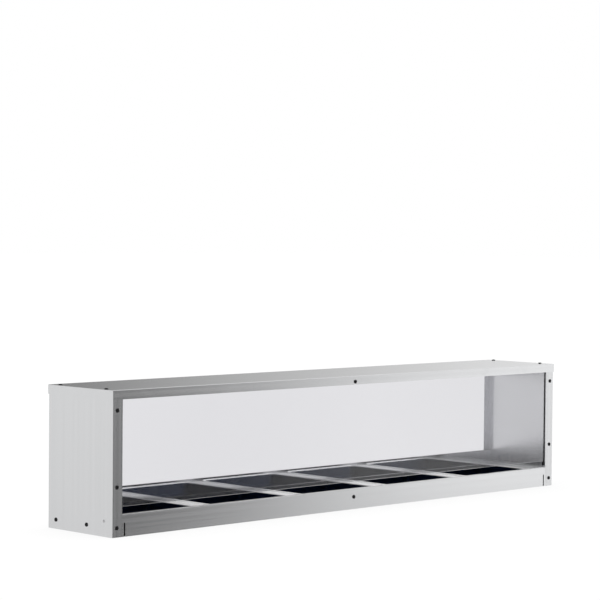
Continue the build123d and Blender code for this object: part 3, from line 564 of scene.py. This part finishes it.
@dataclass
class FastenerSet:
    """Pan head screws of one node, each with a domed head, a cross recess and its own turn."""

    node: str
    facing: Facing
    finish: str = "black_oxide"
    slot: str = "black_oxide"
    body: str = "case"
    head_height: float = 0.0028
    shank_share: float = 0.5
    recess_length: float = 1.05
    recess_width: float = 0.2
    steps: int = 32
    seed: int = 4

    def seats(self) -> list[tuple[Vector, Vector]]:
        """The seat of each head and the way it looks."""
        found = []
        for low, high in islands(self.node):
            centre = (low + high) / 2
            out = Vector(self.facing.value)
            if self.facing is Facing.OUTWARD:
                out *= math.copysign(1.0, centre.x)
            reach = sum(abs(out[axis]) * (high[axis] - low[axis]) / 2 for axis in range(3))
            found.append((centre + out * (reach - self.head_height), out))
        return found

    def head_radius(self) -> float:
        """Half the width of the head, from the node's own solids."""
        low, high = islands(self.node)[0]
        size = sorted(high - low)
        return size[0] / 2 if size[2] - size[1] > size[1] - size[0] else size[1] / 2

    def shank(self) -> float:
        """The length below the head, from the node's own solids."""
        low, high = islands(self.node)[0]
        out = Vector(self.facing.value)
        return sum(abs(out[axis]) * (high[axis] - low[axis]) for axis in range(3)) - self.head_height

    def prototype(self) -> bpy.types.Object:
        """One screw about Z, its seat on the XY plane."""
        radius = self.head_radius()
        stem = radius * self.shank_share
        top = self.head_height
        dome = [
            (radius * math.cos(turn), top * 0.35 + top * 0.65 * math.sin(turn))
            for turn in (0.0, 0.3, 0.6, 0.9, 1.2)
        ]
        profile = [(0, -self.shank()), (stem * 0.7, -self.shank()), (stem, -self.shank() + stem * 0.5)]
        profile += [(stem, 0.0), (radius * 0.96, 0.0), (radius, top * 0.08), *dome, (0, top)]
        screw = object_from(lathe(profile, self.steps), f"{self.node}_one")
        cutter = bmesh.new()
        for turn in (0.0, math.pi / 2):
            block = Matrix.Rotation(turn, 4, "Z") @ Matrix.Translation((0, 0, top * 0.75))
            arm = Matrix.Diagonal((radius * self.recess_length, radius * self.recess_width, top, 1.0))
            bmesh.ops.create_cube(cutter, matrix=block @ arm)
        cross = object_from(cutter, f"{self.node}_cross")
        cut = screw.modifiers.new("recess", "BOOLEAN")
        cut.operation = "DIFFERENCE"
        cut.use_self = True
        cut.object = cross
        bpy.context.view_layer.update()
        shaped = bpy.data.meshes.new_from_object(screw.evaluated_get(bpy.context.evaluated_depsgraph_get()))
        screw.modifiers.clear()
        screw.data = shaped
        bpy.data.objects.remove(cross)
        return screw

    def tree(self, screw: bpy.types.Object, material: bpy.types.Material) -> bpy.types.NodeTree:
        """The tree that sets a screw on every seat.

        Args:
            screw: One screw about Z.
            material: What the screws are finished in.

        Returns:
            The tree, whose inputs are the seats' mesh, the seed and the greatest turn.
        """
        group = bpy.data.node_groups.new(f"{self.node}_on_seats", "GeometryNodeTree")
        socket(group, "Geometry", "Geometry")
        socket(group, "Seed", "Int", self.seed)
        socket(group, "Greatest Turn", "Float", math.pi)
        socket(group, "Geometry", "Geometry", out=True)
        tree = Tree(group)
        start = group.nodes.new("NodeGroupInput")
        end = group.nodes.new("NodeGroupOutput")
        source = tree.add("GeometryNodeObjectInfo", None, Object=screw, As_Instance=True)
        facing = tree.add("GeometryNodeInputNamedAttribute", {"data_type": "FLOAT_VECTOR"}, Name="facing")
        aim = tree.add("FunctionNodeAlignRotationToVector", {"axis": "Z"}, Vector=facing.outputs[0])
        spin = tree.add("FunctionNodeRandomValue", {"data_type": "FLOAT"})
        tree.feed(spin.inputs[3], start.outputs["Greatest Turn"])
        tree.feed(spin.inputs["Seed"], start.outputs["Seed"])
        about = tree.add("FunctionNodeAxisAngleToRotation", None, Axis=(0, 0, 1), Angle=spin.outputs[1])
        turned = tree.add("FunctionNodeRotateRotation", {"rotation_space": "LOCAL"})
        tree.feed(turned.inputs[0], aim.outputs[0])
        tree.feed(turned.inputs[1], about.outputs[0])
        placed = tree.add(
            "GeometryNodeInstanceOnPoints",
            None,
            Points=start.outputs["Geometry"],
            Instance=source.outputs["Geometry"],
            Rotation=turned.outputs[0],
        )
        real = tree.add("GeometryNodeRealizeInstances", None, Geometry=placed.outputs[0])
        painted = tree.add("GeometryNodeSetMaterial", None, Geometry=real.outputs[0], Material=material)
        tree.feed(end.inputs["Geometry"], painted.outputs[0])
        return group

    def build(self, shop: Workshop) -> bpy.types.Object:
        """Makes the screws and stands them in for the node.

        Args:
            shop: Where finishes come from.

        Returns:
            The finished piece.
        """
        seats = self.seats()
        points = bpy.data.meshes.new(f"{self.node}_seats")
        points.from_pydata([seat for seat, _ in seats], [], [])
        facing = points.attributes.new("facing", "FLOAT_VECTOR", "POINT")
        facing.data.foreach_set("vector", [value for _, out in seats for value in out])
        piece = bpy.data.objects.new(f"{self.node}_detailed", points)
        bpy.context.collection.objects.link(piece)
        screw = self.prototype()
        modifier = piece.modifiers.new("screws", "NODES")
        modifier.node_group = self.tree(screw, shop.finish(self.finish))
        piece = baked(piece)
        bpy.data.objects.remove(screw)
        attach(piece, self.body)
        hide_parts(self.node)
        LOG.info("%s: %d screws", self.node, len(seats))
        return piece


@dataclass
class RivetSet(FastenerSet):
    """Blind rivets of one node, each with a thin dished flange round a hollow mandrel end."""

    head_height: float = 0.0009333
    mandrel_share: float = 0.3

    def prototype(self) -> bpy.types.Object:
        """One rivet about Z, its seat on the XY plane."""
        radius = self.head_radius()
        stem = radius * self.shank_share
        core = radius * self.mandrel_share
        top = self.head_height
        profile = [(0, -self.shank()), (stem * 0.8, -self.shank()), (stem, -self.shank() + stem * 0.4)]
        profile += [(stem, 0.0), (radius * 0.96, 0.0), (radius, top * 0.2), (radius * 0.92, top * 0.6)]
        profile += [(radius * 0.7, top), (core * 1.3, top), (core, top * 0.7), (core, -top), (0, -top * 0.8)]
        return object_from(lathe(profile, self.steps), f"{self.node}_one")


@dataclass
class DialMarks:
    """Printed ticks round one control knob, over the angle that the knob turns through."""

    knob: str
    plate: str = "control_box"
    count: int = 11
    gap: float = 0.0022
    length: float = 0.0032
    width: float = 0.0008
    print_height: float = 0.00015
    sweep: float = -math.radians(290.0)

    def tree(self, centre: Vector, radius: float, material: bpy.types.Material) -> bpy.types.NodeTree:
        """The tree that sets the ticks on their arc.

        Args:
            centre: The middle of the dial, on the face of the plate.
            radius: Distance from the middle to the middle of each tick.
            material: What the ticks are printed in.

        Returns:
            The tree, whose inputs are the count, the radius and the ticks' sizes.
        """
        group = bpy.data.node_groups.new(f"{self.knob}_ticks", "GeometryNodeTree")
        sizes = {"Radius": radius, "Sweep": self.sweep, "Tick Length": self.length, "Tick Width": self.width}
        socket(group, "Geometry", "Geometry")
        socket(group, "Count", "Int", self.count)
        for name, value in sizes.items():
            socket(group, name, "Float", value)
        socket(group, "Geometry", "Geometry", out=True)
        tree = Tree(group)
        start = group.nodes.new("NodeGroupInput").outputs
        end = group.nodes.new("NodeGroupOutput")
        points = tree.add("GeometryNodePoints", None, Count=start["Count"])
        share = tree.math("DIVIDE", tree.add("GeometryNodeInputIndex").outputs[0], float(self.count - 1))
        angle = tree.math("MULTIPLY", share, start["Sweep"])
        across = tree.math("MULTIPLY", tree.math("SINE", angle), start["Radius"])
        above = tree.math("MULTIPLY", tree.math("COSINE", angle), start["Radius"])
        place = tree.add("ShaderNodeCombineXYZ", None, X=across, Z=above)
        moved = tree.add("ShaderNodeVectorMath", {"operation": "ADD"})
        tree.feed(moved.inputs[0], place.outputs[0])
        tree.feed(moved.inputs[1], centre)
        arc = tree.add("GeometryNodeSetPosition", None, Geometry=points.outputs[0], Position=moved.outputs[0])
        size = tree.add(
            "ShaderNodeCombineXYZ",
            None,
            X=start["Tick Width"],
            Y=2 * self.print_height,
            Z=start["Tick Length"],
        )
        tick = tree.add("GeometryNodeMeshCube", None, Size=size.outputs[0])
        turn = tree.add("ShaderNodeCombineXYZ", None, Y=angle)
        placed = tree.add(
            "GeometryNodeInstanceOnPoints",
            None,
            Points=arc.outputs[0],
            Instance=tick.outputs[0],
            Rotation=turn.outputs[0],
        )
        real = tree.add("GeometryNodeRealizeInstances", None, Geometry=placed.outputs[0])
        painted = tree.add("GeometryNodeSetMaterial", None, Geometry=real.outputs[0], Material=material)
        tree.feed(end.inputs["Geometry"], painted.outputs[0])
        return group

    def build(self, shop: Workshop) -> bpy.types.Object:
        """Prints the ticks on the plate behind the knob.

        Args:
            shop: Where finishes come from.

        Returns:
            The finished piece.
        """
        low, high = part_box(self.knob)
        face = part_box(self.plate)[1][1]
        middle = Vector(((low[0] + high[0]) / 2, face, (low[2] + high[2]) / 2))
        radius = (high[0] - low[0]) / 2 + self.gap + self.length / 2
        piece = bpy.data.objects.new(f"{self.knob}_dial", bpy.data.meshes.new(f"{self.knob}_dial"))
        bpy.context.collection.objects.link(piece)
        modifier = piece.modifiers.new("ticks", "NODES")
        modifier.node_group = self.tree(middle, radius, shop.finish("print"))
        piece = baked(piece)
        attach(piece, "case")
        LOG.info("%s: %d ticks", self.knob, self.count)
        return piece


@dataclass(frozen=True)
class KnobPointer:
    """A white ridge up one side of a knob's crown and over its rounded edge, pointing at the dial."""

    knob: str
    body: str
    width: float = 0.0012
    base_share: float = 0.82
    top_share: float = 0.72
    edge_share: float = 0.08
    start_share: float = 0.27
    proud: float = 0.0002
    sunk: float = 0.001
    turns: tuple[float, ...] = (0.0, 17.0, 34.0, 50.0)

    def profile(self, radius: float, height: float) -> list[tuple[float, float]]:
        """The ridge's side view.

        Args:
            radius: The knob's largest radius.
            height: The knob's height along its shaft.

        Returns:
            Distances from the knob's foot and from its axis, in order around the ridge.
        """
        edge = self.edge_share * radius
        slope = (self.base_share - self.top_share) * self.start_share
        foot = (self.base_share - slope) * radius
        outline = [(self.start_share * height, foot + self.proud)]
        for turn in self.turns:
            reach = edge + self.proud
            level = height - edge + reach * math.sin(math.radians(turn))
            outline.append((level, self.top_share * radius - edge + reach * math.cos(math.radians(turn))))
        outline.append((outline[-1][0] - self.sunk / 2, outline[-1][1] - self.sunk))
        outline.append((self.start_share * height, foot - self.sunk))
        return outline

    def build(self, shop: Workshop) -> bpy.types.Object:
        """Builds the ridge.

        Args:
            shop: Where finishes come from.

        Returns:
            The finished piece.
        """
        low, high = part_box(self.knob)
        foot = Vector(((low[0] + high[0]) / 2, low[1], (low[2] + high[2]) / 2))
        outline = self.profile((high[0] - low[0]) / 2, high[1] - low[1])
        mesh = bmesh.new()
        rings = [
            [mesh.verts.new(foot + Vector((x, level, rise))) for level, rise in outline]
            for x in (-self.width / 2, self.width / 2)
        ]
        count = len(outline)
        for step in range(count):
            after = (step + 1) % count
            mesh.faces.new((rings[0][step], rings[0][after], rings[1][after], rings[1][step]))
        mesh.faces.new(rings[0])
        mesh.faces.new(rings[1])
        bmesh.ops.recalc_face_normals(mesh, faces=mesh.faces)
        piece = object_from(mesh, f"{self.knob}_pointer")
        piece.data.materials.append(shop.finish("pointer"))
        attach(piece, self.body)
        LOG.info("%s: pointer", self.knob)
        return piece


def baked(piece: bpy.types.Object) -> bpy.types.Object:
    """Turns what a piece's modifiers make into its plain mesh, and removes them."""
    bpy.context.view_layer.update()
    shaped = piece.evaluated_get(bpy.context.evaluated_depsgraph_get())
    mesh = bpy.data.meshes.new_from_object(shaped)
    piece.modifiers.clear()
    piece.data = mesh
    return piece


@dataclass
class Studio:
    """A pale floor, light from all round with one dim side, a soft light behind, and the camera."""

    camera_place: Triple = (-4.6068, -4.5977, 0.8303)
    yaw: float = 0.77604
    pitch: float = -0.034396
    roll: float = 0.0088516
    lens: float = 132.19
    floor_half: float = 40.0
    rear_strength: float = 4.0
    rear_rise: float = 33.0
    rear_heading: float = 15.0
    rear_spread: float = 25.0

    def camera(self) -> None:
        """Stands the camera in front of the left corner, level with a guest's eyes when seated."""
        forward = Vector(
            (
                math.sin(self.yaw) * math.cos(self.pitch),
                math.cos(self.yaw) * math.cos(self.pitch),
                math.sin(self.pitch),
            )
        )
        right = Vector((math.cos(self.yaw), -math.sin(self.yaw), 0.0))
        up = right.cross(forward)
        across = math.cos(self.roll) * right + math.sin(self.roll) * up
        above = math.cos(self.roll) * up - math.sin(self.roll) * right
        data = bpy.data.cameras.new("camera")
        data.lens = self.lens
        data.clip_end = 200.0
        turned = Matrix((across, above, -forward)).transposed().to_4x4()
        camera = bpy.data.objects.new("camera", data)
        camera.matrix_world = Matrix.Translation(self.camera_place) @ turned
        bpy.context.collection.objects.link(camera)
        bpy.context.scene.camera = camera

    def world(self) -> None:
        """Light from all round: even for diffuse surfaces, shaped by direction for reflections."""
        world = bpy.data.worlds.new("soft_surround")
        world.use_nodes = True
        bpy.context.scene.world = world
        tree = Tree(world.node_tree)
        world.node_tree.nodes.clear()
        place = tree.add("ShaderNodeTexCoord")
        split = tree.add("ShaderNodeSeparateXYZ", None, Vector=place.outputs["Generated"])
        heading = tree.math("ARCTAN2", split.outputs["X"], split.outputs["Y"])
        around = tree.remap(heading, -math.pi, math.pi, 0.0, 1.0)
        ramp = tree.add("ShaderNodeValToRGB", None, Fac=around)
        self.panorama(ramp.color_ramp)
        low = tree.remap(split.outputs["Z"], -0.5, -0.1, 0.82, 1.0)
        shaped = tree.add("ShaderNodeVectorMath", {"operation": "SCALE"})
        tree.feed(shaped.inputs[0], ramp.outputs[0])
        tree.feed(shaped.inputs["Scale"], low)
        path = tree.add("ShaderNodeLightPath")
        colour = tree.blend(path.outputs["Is Glossy Ray"], (1.0, 1.0, 1.0), shaped.outputs[0])
        light = tree.add("ShaderNodeBackground", None, Color=colour, Strength=1.0)
        end = tree.add("ShaderNodeOutputWorld")
        tree.feed(end.inputs["Surface"], light.outputs[0])

    @staticmethod
    def panorama(ramp: bpy.types.ColorRamp) -> None:
        """Sets the brightness of the surround by heading, in degrees from +Y towards +X."""
        stops = {
            -180: 0.7,
            -90: 0.85,
            -44: 0.82,
            0: 0.7,
            30: 0.2,
            38: 0.22,
            50: 0.82,
            90: 0.95,
            120: 0.9,
            128: 1.08,
            133.5: 1.12,
            137.3: 0.12,
            145: 0.035,
            155: 0.1,
            168: 0.7,
            180: 0.7,
        }
        while len(ramp.elements) < len(stops):
            ramp.elements.new(0.5)
        for element, (angle, level) in zip(ramp.elements, stops.items()):
            element.position = (angle + 180) / 360
            element.color = (level, level, level, 1.0)

    def floor(self) -> None:
        """A wide pale floor that glows evenly, with a painted soft contact shadow where the case stands on it
        and a faint painted shade across the part seen through the glass.
        """
        mesh = bmesh.new()
        bmesh.ops.create_grid(mesh, x_segments=8, y_segments=8, size=self.floor_half)
        piece = object_from(mesh, "floor")
        material = bpy.data.materials.new("floor_pale")
        material.use_nodes = True
        tree = Tree(material.node_tree)
        material.node_tree.nodes.clear()
        place = tree.add("ShaderNodeTexCoord")
        across = tree.add("ShaderNodeVectorMath", {"operation": "DOT_PRODUCT"})
        tree.feed(across.inputs[0], place.outputs["Object"])
        across.inputs[1].default_value = (0.714, -0.7, 0.0)
        # Painted shade: seen through the glass, the floor's glow falls from 1.0 to 0.93 towards the right of
        # the view.
        glass_view_painted_shade = tree.remap(across.outputs["Value"], -0.8, 1.1, 1.0, 0.93)
        # Painted contact shadow: ambient occlusion dims the floor's glow where the case stands close by.
        painted_contact_shadow = tree.add("ShaderNodeAmbientOcclusion", {"samples": 8}, Distance=0.25)
        shade = tree.remap(painted_contact_shadow.outputs["AO"], 0.3, 1.0, 0.93, 1.02)
        path = tree.add("ShaderNodeLightPath")
        seen = tree.add("ShaderNodeEmission", None, Strength=shade)
        through = tree.add("ShaderNodeEmission", None, Strength=glass_view_painted_shade)
        surface = tree.add("ShaderNodeMixShader")
        tree.feed(surface.inputs[0], path.outputs["Is Transmission Ray"])
        tree.feed(surface.inputs[1], seen.outputs[0])
        tree.feed(surface.inputs[2], through.outputs[0])
        clear = tree.add("ShaderNodeBsdfTransparent")
        whole = tree.add("ShaderNodeMixShader")
        straight = tree.math("SUBTRACT", 1.0, path.outputs["Is Transmission Ray"])
        tree.feed(whole.inputs[0], tree.math("MULTIPLY", path.outputs["Is Glossy Ray"], straight))
        tree.feed(whole.inputs[1], surface.outputs[0])
        tree.feed(whole.inputs[2], clear.outputs[0])
        end = tree.add("ShaderNodeOutputMaterial")
        tree.feed(end.inputs["Surface"], whole.outputs[0])
        piece.data.materials.append(material)

    def rear_light(self) -> None:
        """A broad soft light from behind the case that reaches the deck through the open rear."""
        data = bpy.data.lights.new("rear_light", "SUN")
        data.energy = self.rear_strength
        data.angle = math.radians(self.rear_spread)
        lamp = bpy.data.objects.new("rear_light", data)
        lamp.rotation_euler = (-math.radians(90.0 - self.rear_rise), 0.0, -math.radians(self.rear_heading))
        lamp.visible_glossy = False
        bpy.context.collection.objects.link(lamp)

    def build(self) -> None:
        """Sets up the whole studio."""
        self.world()
        self.floor()
        self.rear_light()
        bpy.context.scene.view_settings.view_transform = "Standard"
        LOG.info("studio ready")


FASTENERS = (
    FastenerSet("top_screws", Facing.UP),
    FastenerSet("left_post_screws", Facing.FRONT, seed=7),
    FastenerSet("right_post_screws", Facing.FRONT, seed=11),
    FastenerSet("centre_screws", Facing.FRONT, seed=15),
    FastenerSet("end_screws", Facing.OUTWARD, seed=21),
    FastenerSet("rear_screws", Facing.REAR, seed=30),
    RivetSet("end_rivets", Facing.OUTWARD, finish="mill", slot="stainless_mill", seed=41),
)
DIALS = (DialMarks("control_knob_wells"), DialMarks("control_knob_strip"))
POINTERS = (
    KnobPointer("control_knob_wells", "wells_control"),
    KnobPointer("control_knob_strip", "strip_control"),
)


def main() -> None:
    """Builds the studio, the finishes and every added piece, in order."""
    logging.basicConfig(level=logging.INFO, format="%(message)s")
    studio = Studio()
    studio.camera()
    studio.build()
    Groups.build()
    shop = Workshop()
    shop.dress_frame()
    for detail in (*FASTENERS, *DIALS, *POINTERS):
        detail.build(shop)


if __name__ == "__main__":
    main()
